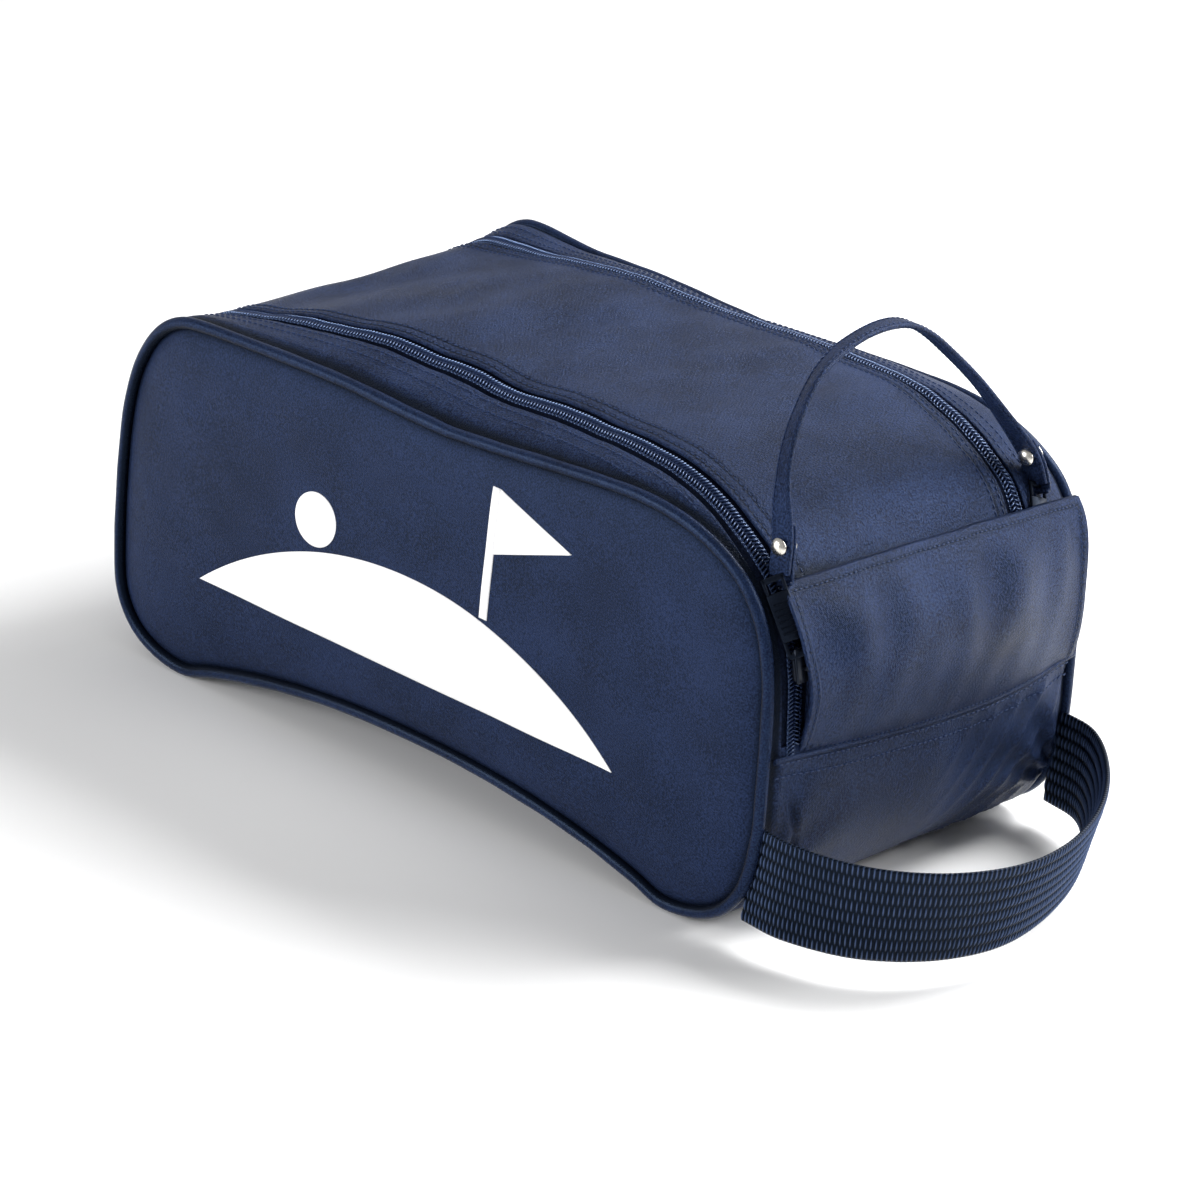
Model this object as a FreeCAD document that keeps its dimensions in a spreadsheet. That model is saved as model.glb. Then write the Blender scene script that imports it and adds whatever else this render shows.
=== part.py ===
import FreeCAD, Part
import Sketcher
import math
import os

# Shoe bag with a wrap-around lid held by two parallel zips.
#
# Every piece is drawn in the bag's own coordinates: X along the bag, Y from the
# front panel to the back panel, Z up, zero at the middle of the bag's footprint.
# The Placement of each piece then moves it along X, so that the origin of the
# whole model is the centre of its footprint with the grab handle included.

DIMENSIONS = {
    "bag_length": (340, "over the two end walls"),
    "bag_width": (185, "over the piping of front and back"),
    "bag_height": (160, "floor to lid"),
    "top_radius": (62.7, "outer corner radius between lid and ends"),
    "bottom_radius": (45, "outer corner radius between floor and ends"),
    "arch_rise": (18, "lift of the floor in the middle"),
    "foot_length": (14, "flat stretch the bag rests on, at each end"),
    "skin": (2, "thickness of the wall fabric with its lining"),
    "tape": (0.8, "thickness of zip tape"),
    "piping_size": (5, "piping, across"),
    "panel_inset": (1.5, "outer face of a side panel behind the piping"),
    "binding_height": (6, "seam binding, across the seam allowance"),
    "binding_thickness": (2, "seam binding, along Y"),
    "hinge_height": (80, "where the lid is sewn to the left end wall"),
    "seam_height": (72, "seam that carries the end flap"),
    "lid_gap": (5, "from that seam to the free end of the lid"),
    "zip_centre": (65, "centre of each zip chain from the middle of the bag"),
    "chain_gap": (2, "between the two coils of one zip"),
    "coil_width": (2, "one coil, along Y"),
    "coil_proud": (0.2, "coil above the wall fabric"),
    "strip_gap": (5.4, "from the chain centre to the edge of the fabric"),
    "tape_reach": (12, "tape edge from the chain centre"),
    "clearance": (0.3, "between pieces that move past each other"),
    "slider_angle": (13.6, "place of the sliders round the right corner"),
    "slider_length": (13, "slider, along the zip"),
    "slider_width": (10, "slider, across the zip"),
    "plate": (1.2, "thickness of the slider's upper plate"),
    "plate_lift": (0.8, "upper plate above the wall fabric"),
    "slider_gap": (0.6, "inside of a slider's rim from the coil"),
    "rim_thickness": (0.8, "rim down each side of a slider's upper plate"),
    "post_width": (1.2, "post that joins a slider's two plates"),
    "post_length": (3, "the same post, along the zip"),
    "bridge_thickness": (2.4, "bridge that holds the pull tab"),
    "bridge_angle": (17, "place of the pull tab's lower bar"),
    "bridge_radius": (66.4, "pull tab bars from the corner's axis"),
    "tab_angle": (41.5, "place of the pull tab's upper bar"),
    "tab_width": (8.5, "pull tab, across"),
    "tab_thickness": (1.2, "pull tab"),
    "tab_window": (5.4, "window at each end of the pull tab, across"),
    "bar_width": (2.2, "bar at each end of the pull tab"),
    "strap_width": (10, "puller strap, across"),
    "strap_thickness": (2.2, "puller strap"),
    "strap_rise": (81, "puller strap's loop above its pivots"),
    "strap_corner": (38, "radius of the loop's shoulders"),
    "strap_lean": (18.5, "lean of the loop towards the left end"),
    "fold_height": (19, "length of the strap's folded ends above the neck"),
    "neck_width": (4.8, "strap where it is gathered round the pull tab's bar"),
    "neck_height": (7, "top of that neck above the strap's pivot"),
    "eye_wall": (1.2, "strap round the pull tab's bar"),
    "rivet_height": (11, "rivet above the strap's pivot"),
    "rivet_radius": (3.7, "rivet cap"),
    "rivet_cap": (1.2, "height of a rivet cap"),
    "shank_radius": (1.5, "rivet shank"),
    "flap_half_width": (80, "end flap, half its width"),
    "flap_top": (134.5, "top edge of the end flap"),
    "flap_thickness": (1.6, "end flap"),
    "flap_standoff": (6, "inside of the flap from the end wall"),
    "handle_reach": (75, "grab handle beyond the end wall"),
    "handle_height": (40, "width of the handle webbing"),
    "handle_floor": (9, "lower edge of the webbing above the floor"),
    "handle_thickness": (2.4, "webbing"),
    "handle_start": (5, "start of the webbing from the end wall"),
    "handle_half_width": (86, "outside of the webbing at its ends"),
    "handle_corner": (50, "outer radius of the handle's bends"),
    "print_thickness": (0.3, "film of the printed motif"),
    "green_base": (46, "straight lower edge of the printed green"),
    "green_half": (110, "half the length of that edge"),
    "green_rise": (40, "height of the green's mound"),
    "ball_radius": (11, "printed ball"),
    "stop_height": (3, "zip stop, along the zip"),
    "stop_thickness": (1.2, "zip stop, out from the coil"),
}

SHEET = "Dims"


class Size:
    """A number together with the spreadsheet expression that gives it."""

    def __init__(self, value, text):
        self.value = value
        self.text = text

    def __add__(self, other):
        return join(self, "+", other)

    def __radd__(self, other):
        return join(other, "+", self)

    def __sub__(self, other):
        return join(self, "-", other)

    def __rsub__(self, other):
        return join(other, "-", self)

    def __mul__(self, other):
        return join(self, "*", other)

    def __rmul__(self, other):
        return join(other, "*", self)

    def __truediv__(self, other):
        return join(self, "/", other)

    def __neg__(self):
        return join(0, "-", self)


def as_size(number):
    if isinstance(number, Size):
        return number
    return Size(number, f"{number:.9g}")


def join(left, sign, right):
    left = as_size(left)
    right = as_size(right)
    results = {
        "+": left.value + right.value,
        "-": left.value - right.value,
        "*": left.value * right.value,
        "/": left.value / right.value if right.value else math.inf,
    }
    return Size(results[sign], f"({left.text} {sign} {right.text})")


def cosine(angle):
    return Size(math.cos(math.radians(angle.value)), f"cos({angle.text})")


def sine(angle):
    return Size(math.sin(math.radians(angle.value)), f"sin({angle.text})")


def write_sheet(doc):
    """Put the driving dimensions into a spreadsheet and return them as sizes."""
    sheet = doc.addObject("Spreadsheet::Sheet", SHEET)
    sizes = {}
    for row, (alias, (value, note)) in enumerate(DIMENSIONS.items(), start=1):
        sheet.set(f"A{row}", alias)
        sheet.set(f"B{row}", str(value))
        sheet.set(f"C{row}", note)
        sheet.setAlias(f"B{row}", alias)
        sizes[alias] = Size(value, f"{SHEET}.{alias}")
    doc.recompute()
    return sizes


doc = FreeCAD.newDocument("ShoeBag")
dim = write_sheet(doc)

half_length = dim["bag_length"] / 2
half_width = dim["bag_width"] / 2
height = dim["bag_height"]
corner_x = half_length - dim["top_radius"]
corner_z = height - dim["top_radius"]
bag_x = -(dim["handle_reach"] / 2)
wall_half = half_width - dim["piping_size"]
panel_outer = half_width - dim["panel_inset"]
zip_y = dim["zip_centre"]


def bind(obj, path, size):
    """Bind a property to an expression, or leave a plain number as it is."""
    obj.setExpression(path, as_size(size).text)


def place(obj, x=0, y=0, z=0, turn=None):
    """Bind an object's Placement: a turn about Y in degrees, then a move."""
    if turn is not None:
        obj.Placement.Rotation = FreeCAD.Rotation(FreeCAD.Vector(0, 1, 0), as_size(turn).value)
        bind(obj, "Placement.Rotation.Angle", turn)
    bind(obj, "Placement.Base.x", x)
    bind(obj, "Placement.Base.y", y)
    bind(obj, "Placement.Base.z", z)


def new_body(label, x=bag_x, y=0, z=0, turn=None):
    body = doc.addObject("PartDesign::Body", label)
    body.Label = label
    place(body, x, y, z, turn)
    return body


def minor_arc(start, end, radius, clockwise):
    """Arc of at most half a turn between two points, as sketches hold it: anticlockwise."""
    if clockwise:
        start, end = end, start
    chord = end - start
    middle = (start + end) * 0.5
    depth = math.sqrt(max(radius ** 2 - (chord.Length / 2) ** 2, 0))
    left = FreeCAD.Vector(-chord.y, chord.x, 0).normalize()
    centre = middle + left * depth
    first = math.atan2(start.y - centre.y, start.x - centre.x)
    last = math.atan2(end.y - centre.y, end.x - centre.x)
    if last <= first:
        last += 2 * math.pi
    circle = Part.Circle(centre, FreeCAD.Vector(0, 0, 1), radius)
    return Part.ArcOfCircle(circle, first, last)


def sketch_outline(body, plane, outline):
    """Closed outline of lines and arcs with every corner and radius bound.

    A corner is (across, up), or (across, up, radius, clockwise) where an arc
    leads to it from the corner before.
    """
    sketch = body.newObject("Sketcher::SketchObject", body.Label + "_outline")
    origin = [feature for feature in body.Origin.OriginFeatures if feature.Role == plane]
    sketch.AttachmentSupport = [(origin[0], "")]
    sketch.MapMode = "FlatFace"
    points = [FreeCAD.Vector(as_size(c[0]).value, as_size(c[1]).value, 0) for c in outline]
    ends = []
    for index, corner in enumerate(outline):
        start = points[index - 1]
        end = points[index]
        if len(corner) == 2:
            sketch.addGeometry(Part.LineSegment(start, end), False)
            ends.append((1, 2))
            continue
        radius, clockwise = corner[2:]
        sketch.addGeometry(minor_arc(start, end, as_size(radius).value, clockwise), False)
        ends.append((2, 1) if clockwise else (1, 2))
        hold(sketch, Sketcher.Constraint("Radius", index, as_size(radius).value), radius)
    for index, corner in enumerate(outline):
        following = (index + 1) % len(outline)
        finish = ends[index][1]
        meets = (index, finish, following, ends[following][0])
        sketch.addConstraint(Sketcher.Constraint("Coincident", *meets))
        across, up = as_size(corner[0]), as_size(corner[1])
        hold(sketch, Sketcher.Constraint("DistanceX", -1, 1, index, finish, across.value), across)
        hold(sketch, Sketcher.Constraint("DistanceY", -1, 1, index, finish, up.value), up)
    return sketch


def hold(sketch, constraint, size):
    number = sketch.addConstraint(constraint)
    if isinstance(size, Size):
        sketch.setExpression(f"Constraints[{number}]", size.text)


def pad(body, plane, outline, thickness):
    """Pad an outline by half the thickness to each side of its plane."""
    sketch = sketch_outline(body, plane, outline)
    feature = body.newObject("PartDesign::Pad", body.Label + "_pad")
    feature.Profile = sketch
    feature.Midplane = True
    feature.Length = as_size(thickness).value
    bind(feature, "Length", thickness)
    sketch.Visibility = False
    return feature


def box(body, low, size, cut=False):
    """Box from its low corner, added to or cut from a body."""
    kind = "PartDesign::SubtractiveBox" if cut else "PartDesign::AdditiveBox"
    feature = body.newObject(kind, body.Label + "_block")
    for name, value in zip(("Length", "Width", "Height"), size):
        bind(feature, name, value)
    place(feature, *low)
    return feature


def rod(body, centre, radius, length, cut=False):
    """Round rod along Y, added to or cut from a body, with its middle at the centre."""
    kind = "PartDesign::SubtractiveCylinder" if cut else "PartDesign::AdditiveCylinder"
    feature = body.newObject(kind, body.Label + "_rod")
    bind(feature, "Radius", radius)
    bind(feature, "Height", length)
    feature.Placement.Rotation = FreeCAD.Rotation(FreeCAD.Vector(1, 0, 0), 90)
    x, y, z = centre
    bind(feature, "Placement.Base.x", x)
    bind(feature, "Placement.Base.y", y + length / 2)
    bind(feature, "Placement.Base.z", z)
    return feature


def side_outline(inset):
    """The bag seen from the front, drawn in by an inset: rounded, with an arched floor."""
    side = half_length - inset
    top = height - inset
    foot = half_length - dim["bottom_radius"]
    arch = foot - dim["foot_length"]
    top_radius = dim["top_radius"] - inset
    bottom_radius = dim["bottom_radius"] - inset
    chord = arch.value
    rise = dim["arch_rise"].value
    arch_radius = (chord * chord + rise * rise) / (2 * rise)
    return [
        (-arch, inset),
        (arch, inset, arch_radius, True),
        (foot, inset),
        (side, dim["bottom_radius"], bottom_radius, False),
        (side, corner_z),
        (corner_x, top, top_radius, False),
        (-corner_x, top),
        (-side, corner_z, top_radius, False),
        (-side, dim["bottom_radius"]),
        (-foot, inset, bottom_radius, False),
    ]


def plate(label, inset, y, thickness):
    """Plate with the bag's side outline."""
    body = new_body(label, y=y)
    pad(body, "XZ_Plane", side_outline(inset), thickness)
    return body


def ring(label, outer, inner, y, thickness):
    """Frame that follows the bag's side outline between two insets."""
    body = plate(label, outer, y, thickness)
    sketch = sketch_outline(body, "XZ_Plane", side_outline(inner))
    feature = body.newObject("PartDesign::Pocket", label + "_opening")
    feature.Profile = sketch
    feature.Type = "ThroughAll"
    feature.Midplane = True
    sketch.Visibility = False
    return body


def band_outline(outer, inner, left_end, right_end):
    """Strip over the top of the bag, from the left end wall round to the right one."""
    return [
        (-(half_length - outer), left_end),
        (-(half_length - outer), corner_z),
        (-corner_x, height - outer, dim["top_radius"] - outer, True),
        (corner_x, height - outer),
        (half_length - outer, corner_z, dim["top_radius"] - outer, True),
        (half_length - outer, right_end),
        (half_length - inner, right_end),
        (half_length - inner, corner_z),
        (corner_x, height - inner, dim["top_radius"] - inner, False),
        (-corner_x, height - inner),
        (-(half_length - inner), corner_z, dim["top_radius"] - inner, False),
        (-(half_length - inner), left_end),
    ]


def band(label, depths, ends, near, far):
    """Band between two depths, two end heights and two distances across the bag."""
    body = new_body(label, y=(near + far) / 2)
    width = far - near if far.value > near.value else near - far
    pad(body, "XZ_Plane", band_outline(*depths, *ends), width)
    return body


def side_panels():
    """Front and back panels, with the piping and the seam binding round each."""
    thickness = dim["skin"]
    for name, side in (("front", -1), ("back", 1)):
        panel_y = side * (panel_outer - thickness / 2)
        plate(name + "_panel", dim["piping_size"], panel_y, thickness)
        piping_y = side * (half_width - dim["piping_size"] / 2)
        ring(name + "_piping", as_size(0), dim["piping_size"], piping_y, dim["piping_size"])
        outer = dim["piping_size"] + dim["clearance"]
        inner = outer + dim["binding_height"]
        binding = dim["binding_thickness"]
        binding_y = side * (panel_outer - thickness - binding / 2)
        ring(name + "_seam_binding", outer, inner, binding_y, binding)


def floor_and_ends():
    """The lower part of the gusset: floor, left end wall and the lower right end wall."""
    skin = dim["skin"]
    foot = half_length - dim["bottom_radius"]
    arch = foot - dim["foot_length"]
    rise = dim["arch_rise"].value
    arch_radius = (arch.value ** 2 + rise ** 2) / (2 * rise)
    floor = new_body("bottom_panel")
    floor_outline = [
        (-foot, as_size(0)),
        (-arch, as_size(0)),
        (arch, as_size(0), arch_radius, True),
        (foot, as_size(0)),
        (foot, skin),
        (arch, skin),
        (-arch, skin, arch_radius, False),
        (-foot, skin),
    ]
    pad(floor, "XZ_Plane", floor_outline, 2 * wall_half)
    walls = (
        ("left_end_panel", -1, dim["hinge_height"] - dim["clearance"]),
        ("right_end_panel", 1, dim["seam_height"] + dim["lid_gap"] - dim["clearance"] * 4),
    )
    for label, side, top in walls:
        outline = [
            (side * foot, as_size(0)),
            (side * half_length, dim["bottom_radius"], dim["bottom_radius"], side < 0),
            (side * half_length, top),
            (side * (half_length - skin), top),
            (side * (half_length - skin), dim["bottom_radius"]),
            (side * foot, skin, dim["bottom_radius"] - skin, side > 0),
        ]
        body = new_body(label)
        pad(body, "XZ_Plane", outline, 2 * wall_half)


def zips_and_lid():
    """Zip strips, lid and, for each zip, two tapes and two coils."""
    skin_depth = (as_size(0), dim["skin"])
    tape_depth = (dim["skin"], dim["skin"] + dim["tape"])
    coil_depth = (-dim["coil_proud"], dim["skin"])
    left = dim["hinge_height"]
    fixed_end = dim["seam_height"] + dim["lid_gap"]
    free_end = fixed_end + dim["clearance"]
    ends_fixed = (left, fixed_end)
    ends_free = (left, free_end)
    coil_near = dim["chain_gap"] / 2
    coil_far = coil_near + dim["coil_width"]
    lid = new_body("lid_panel")
    pad(lid, "XZ_Plane", band_outline(*skin_depth, *ends_free), 2 * (zip_y - dim["strip_gap"]))
    for name, side in (("front", -1), ("back", 1)):
        chain = side * zip_y
        strip_near = side * (zip_y + dim["strip_gap"])
        band(name + "_zip_strip", skin_depth, ends_fixed, strip_near, side * wall_half)
        for place_name, away, ends in (("outer", side, ends_fixed), ("inner", -side, ends_free)):
            near = chain + away * coil_near
            tape_far = chain + away * dim["tape_reach"]
            band(f"{name}_{place_name}_tape", tape_depth, ends, near, tape_far)
            band(f"{name}_{place_name}_coil", coil_depth, ends, near, chain + away * coil_far)


def sliders_and_tabs():
    """Both sliders on the right corner, each with its pull tab lying along the corner."""
    radius = dim["top_radius"]
    length = dim["slider_length"]
    width = dim["slider_width"]
    upper = radius + dim["plate_lift"]
    lower = radius - dim["skin"] - dim["tape"] - dim["plate_lift"] - dim["plate"]
    post = dim["post_width"]
    post_length = dim["post_length"]
    rim = dim["rim_thickness"]
    rim_centre = dim["chain_gap"] / 2 + dim["coil_width"] + dim["slider_gap"] + rim / 2
    rim_length = length - 2 * dim["plate"]
    keel = width / 2
    bridge = dim["bridge_thickness"]
    bridge_half = 2 * dim["bar_width"]
    pin_turn = dim["bridge_angle"] - dim["slider_angle"]
    pin_reach = dim["bridge_radius"] * cosine(pin_turn)
    pin_shift = -(dim["bridge_radius"] * sine(pin_turn))
    hole = dim["bar_width"] / 2 + 2 * dim["clearance"]
    for name, side in (("front", -1), ("back", 1)):
        body = new_body(name + "_slider", bag_x + corner_x, side * zip_y, corner_z,
                        90 - dim["slider_angle"])
        box(body, (-(length / 2), -(width / 2), upper), (length, width, dim["plate"]))
        for edge in (-1, 1):
            box(body, (-(rim_length / 2), edge * rim_centre - rim / 2, upper - dim["plate_lift"] * 2),
                (rim_length, rim, dim["plate_lift"] * 2 + dim["plate"] / 2))
        box(body, (-(post_length / 2), -(post / 2), lower),
            (post_length, post, upper - lower + dim["plate"] / 2))
        keel_low = -(post / 2) if side < 0 else post / 2 - keel
        box(body, (-(rim_length / 2), keel_low, lower), (rim_length, keel, dim["plate"]))
        box(body, (pin_shift - bridge_half, -(bridge / 2), upper + dim["plate"] / 2),
            (2 * bridge_half, bridge, pin_reach - upper + bridge_half * 0.75))
        rod(body, (pin_shift, 0, pin_reach), hole, 2 * bridge, cut=True)
        pull_tab(name + "_pull_tab", side)


def pull_tab(label, side):
    """Flat tab between its two bars: the slider's bridge and the strap's fold."""
    reach = 2 * dim["bridge_radius"] * sine((dim["tab_angle"] - dim["bridge_angle"]) / 2)
    chord_turn = -(dim["tab_angle"] + dim["bridge_angle"]) / 2 - 90
    pin_x = corner_x + dim["bridge_radius"] * cosine(dim["bridge_angle"])
    pin_z = corner_z + dim["bridge_radius"] * sine(dim["bridge_angle"])
    half_bar = dim["bar_width"] / 2
    half_tab = dim["tab_width"] / 2
    body = new_body(label, bag_x + pin_x, side * zip_y, pin_z, chord_turn)
    box(body, (-half_bar, -half_tab, -(dim["tab_thickness"] / 2)),
        (reach + dim["bar_width"], dim["tab_width"], dim["tab_thickness"]))
    length = 2 * dim["bar_width"]
    window = dim["tab_window"]
    for start in (half_bar, reach - half_bar - length):
        box(body, (start, -(window / 2), -dim["tab_thickness"]),
            (length, window, 2 * dim["tab_thickness"]), cut=True)


def strap_pivot():
    pivot_x = corner_x + dim["bridge_radius"] * cosine(dim["tab_angle"])
    pivot_z = corner_z + dim["bridge_radius"] * sine(dim["tab_angle"])
    return pivot_x, pivot_z


def puller():
    """Strap that joins both pull tabs over the lid, with a rivet through each folded end."""
    pivot_x, pivot_z = strap_pivot()
    half = dim["strap_thickness"] / 2
    corner = dim["strap_corner"]
    rise = dim["strap_rise"]
    outer = zip_y + half
    inner = zip_y - half
    eye = dim["bar_width"] / 2 + dim["clearance"]
    shell = eye + dim["eye_wall"]
    neck = dim["neck_height"]
    turn = -dim["strap_lean"]
    strap = new_body("puller_strap", bag_x + pivot_x, 0, pivot_z, turn)
    loop = [
        (-outer, neck),
        (-outer, rise - corner),
        (-(outer - corner - half), rise + half, corner + half, True),
        (outer - corner - half, rise + half),
        (outer, rise - corner, corner + half, True),
        (outer, neck),
        (inner, neck),
        (inner, rise - corner),
        (inner - corner + half, rise - half, corner - half, False),
        (-(inner - corner + half), rise - half),
        (-inner, rise - corner, corner - half, False),
        (-inner, neck),
    ]
    pad(strap, "YZ_Plane", loop, dim["strap_width"])
    fold = 2 * dim["strap_thickness"]
    for side in (-1, 1):
        box(strap, (-(dim["strap_width"] / 2), side * zip_y - fold / 2, neck),
            (dim["strap_width"], fold, dim["fold_height"]))
        box(strap, (-(dim["neck_width"] / 2), side * zip_y - fold / 2, eye),
            (dim["neck_width"], fold, neck - eye))
        rod(strap, (0, side * zip_y, 0), shell, fold)
        rod(strap, (0, side * zip_y, 0), eye, 2 * fold, cut=True)
        rod(strap, (0, side * zip_y, dim["rivet_height"]), dim["shank_radius"], 2 * fold, cut=True)
    for name, side in (("front", -1), ("back", 1)):
        rivet = new_body(name + "_rivet", bag_x + pivot_x, side * zip_y, pivot_z, turn)
        centre_z = dim["rivet_height"]
        rod(rivet, (0, 0, centre_z), dim["shank_radius"], fold + dim["rivet_cap"])
        for face in (-1, 1):
            cap_y = face * (fold + dim["rivet_cap"]) / 2
            rod(rivet, (0, cap_y, centre_z), dim["rivet_radius"], dim["rivet_cap"])


def end_flap():
    """Hemmed flap sewn along its lower edge and standing over the free end of the lid."""
    seam = dim["seam_height"]
    start = half_length + dim["clearance"]
    out = half_length + dim["flap_standoff"]
    thick = dim["flap_thickness"]
    outline = [
        (start, seam),
        (out - 2, seam + 8),
        (out, seam + 24),
        (out, dim["flap_top"]),
        (out + thick, dim["flap_top"]),
        (out + thick, seam + 24),
        (out - 2 + thick, seam + 8),
        (start + thick, seam),
    ]
    body = new_body("end_flap")
    pad(body, "XZ_Plane", outline, 2 * dim["flap_half_width"])


def grab_handle():
    """Webbing loop that stands out from the right end."""
    thick = dim["handle_thickness"]
    near = half_length + dim["handle_start"]
    far = half_length + dim["handle_reach"]
    side = dim["handle_half_width"]
    corner = dim["handle_corner"]
    inner = corner - thick
    outline = [
        (near, -side),
        (far - corner, -side),
        (far, corner - side, corner, False),
        (far, side - corner),
        (far - corner, side, corner, False),
        (near, side),
        (near, side - thick),
        (far - corner, side - thick),
        (far - thick, side - corner, inner, True),
        (far - thick, corner - side),
        (far - corner, thick - side, inner, True),
        (near, thick - side),
    ]
    middle = dim["handle_floor"] + dim["handle_height"] / 2
    body = new_body("grab_handle", z=middle)
    pad(body, "XY_Plane", outline, dim["handle_height"])


def front_print():
    """Motif printed on the front panel: a golf green with a flag and a ball."""
    film = dim["print_thickness"]
    y = -(panel_outer + film / 2)
    half = dim["green_half"]
    rise = dim["green_rise"]
    base = dim["green_base"]
    green_radius = (half * half + rise * rise) / (2 * rise)
    green = [(-half - 10, base, green_radius, False), (half - 10, base)]
    flag = [(28, 83), (32, 83), (32, 110), (70, 123), (32, 136), (28, 136)]
    for label, outline in (("printed_green", green), ("printed_flag", flag)):
        body = new_body(label, y=y)
        pad(body, "XZ_Plane", outline, film)
    ball = new_body("printed_ball", y=y)
    rod(ball, (-60, as_size(0), 92), dim["ball_radius"], film)


def zip_stops():
    """Wire stop at the lower end of each zip, on the coil of the wall side."""
    low = dim["seam_height"] + dim["lid_gap"] + dim["clearance"]
    for name, side in (("front", -1), ("back", 1)):
        y = side * (zip_y + dim["chain_gap"] / 2 + dim["coil_width"] / 2)
        body = new_body(name + "_zip_stop")
        box(body, (half_length + dim["coil_proud"], y - dim["coil_width"] / 2, low),
            (dim["stop_thickness"], dim["coil_width"], dim["stop_height"]))


def check_document():
    """Stop if any object failed or any piece has no sound solid."""
    doc.recompute()
    for obj in doc.Objects:
        if "Invalid" in obj.State or "Error" in obj.State:
            raise RuntimeError(f"{obj.Label} failed: {obj.State}")
    bodies = [obj for obj in doc.Objects if obj.TypeId == "PartDesign::Body"]
    for body in bodies:
        if body.Shape.isNull() or not body.Shape.isValid():
            raise RuntimeError(f"{body.Label} has no valid shape")
        if len(body.Shape.Solids) == 0:
            raise RuntimeError(f"{body.Label} has no solid")
    return bodies


side_panels()
floor_and_ends()
zips_and_lid()
zip_stops()
sliders_and_tabs()
puller()
end_flap()
grab_handle()
front_print()

os.makedirs("parts", exist_ok=True)
for piece in check_document():
    piece.Shape.exportStep(f"parts/{piece.Label}.step")
    print(f"{piece.Label}: {piece.Shape.Volume:.0f} mm3, {len(piece.Shape.Solids)} solid")
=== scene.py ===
import math

import bpy
import numpy as np
from mathutils import Matrix, Vector


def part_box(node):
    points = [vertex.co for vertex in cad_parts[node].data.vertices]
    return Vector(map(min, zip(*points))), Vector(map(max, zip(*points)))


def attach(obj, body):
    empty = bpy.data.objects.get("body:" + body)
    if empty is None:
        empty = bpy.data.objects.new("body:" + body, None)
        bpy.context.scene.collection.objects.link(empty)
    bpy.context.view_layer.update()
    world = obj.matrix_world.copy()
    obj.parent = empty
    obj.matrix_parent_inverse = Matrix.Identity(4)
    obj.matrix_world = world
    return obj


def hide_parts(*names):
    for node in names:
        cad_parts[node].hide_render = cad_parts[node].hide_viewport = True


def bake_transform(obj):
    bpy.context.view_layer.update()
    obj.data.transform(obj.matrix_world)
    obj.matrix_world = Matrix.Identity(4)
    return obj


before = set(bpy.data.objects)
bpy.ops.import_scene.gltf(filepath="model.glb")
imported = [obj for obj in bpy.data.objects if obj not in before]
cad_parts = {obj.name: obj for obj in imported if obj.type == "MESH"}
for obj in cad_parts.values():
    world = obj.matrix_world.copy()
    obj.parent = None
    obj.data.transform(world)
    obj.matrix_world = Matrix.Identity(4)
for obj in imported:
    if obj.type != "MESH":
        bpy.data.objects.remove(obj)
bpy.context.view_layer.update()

# Sizes are in mm, with X measured from the bag's middle; to_metres moves them to the shared frame.
MM = 0.001
LOW, HIGH = (np.array(corner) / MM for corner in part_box("front_piping"))
SHIFT = (LOW[0] + HIGH[0]) / 2
HALF_LENGTH = (HIGH[0] - LOW[0]) / 2
HEIGHT = HIGH[2]
HALF_WIDTH = -LOW[1]

TOP_RADIUS = 62.7
CORNER_X = HALF_LENGTH - TOP_RADIUS
CORNER_Z = HEIGHT - TOP_RADIUS
ARCH_RISE = 18.0
ARCH_HALF = 128.0
PIPING = 2.5
WALL_Y = HALF_WIDTH - 2 * PIPING
SEAM_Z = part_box("end_flap")[0][2] / MM
FLAP_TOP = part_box("end_flap")[1][2] / MM
HINGE_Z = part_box("lid_panel")[0][2] / MM
GUSSET_EDGE = WALL_Y + 1.2
FABRIC = 1.5


# ---- small maths

def ease(t):
    """Smooth step from 0 to 1."""
    t = np.clip(t, 0.0, 1.0)
    return t * t * (3 - 2 * t)


def ripple(u, v, seed, waves=6):
    """Smooth seeded undulation between about -1 and 1 over two lengths in mm."""
    source = np.random.default_rng(seed)
    total = 0.0
    for _ in range(waves):
        angle, phase = source.uniform(0, 2 * math.pi, 2)
        pitch = source.uniform(18, 60)
        along = u * math.cos(angle) + v * math.sin(angle)
        total = total + np.sin(2 * math.pi * along / pitch + phase)
    return total / waves ** 0.5 / 1.4


def unit(vectors):
    return vectors / np.maximum(np.linalg.norm(vectors, axis=-1, keepdims=True), 1e-9)


def circle(count):
    return np.linspace(0, 2 * math.pi, count, endpoint=False)


def distances(line):
    """Distance along a line to each of its points."""
    return np.concatenate([[0], np.cumsum(np.linalg.norm(np.diff(line, axis=0), axis=1))])


def read_line(places, reach, line):
    """Points at some distances along a line."""
    return np.stack([np.interp(places, reach, column) for column in line.T], axis=1)


# ---- side outline

RIGHT_HALF = ((0, 150), (26, 152), (52, 154.5), (76, 156.5), (95, 157.5), (112, 156.5), (128, 153),
              (143, 146.5), (154, 138), (162.5, 125), (167.5, 108), (169.5, 88), (170.5, 66), (171, 45),
              (167.5, 24), (159, 10.5), (146, 3), (128, 0.3))
LEFT_HALF = ((-128, 0.3), (-146, 3), (-160, 11), (-169, 25), (-172, 46), (-173, 70), (-172.5, 95),
             (-169.5, 115), (-163.5, 130), (-156, 140), (-146, 146.5), (-134, 149), (-106, 150.5),
             (-79, 151.5), (-52, 151.8), (-26, 150.7))


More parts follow.
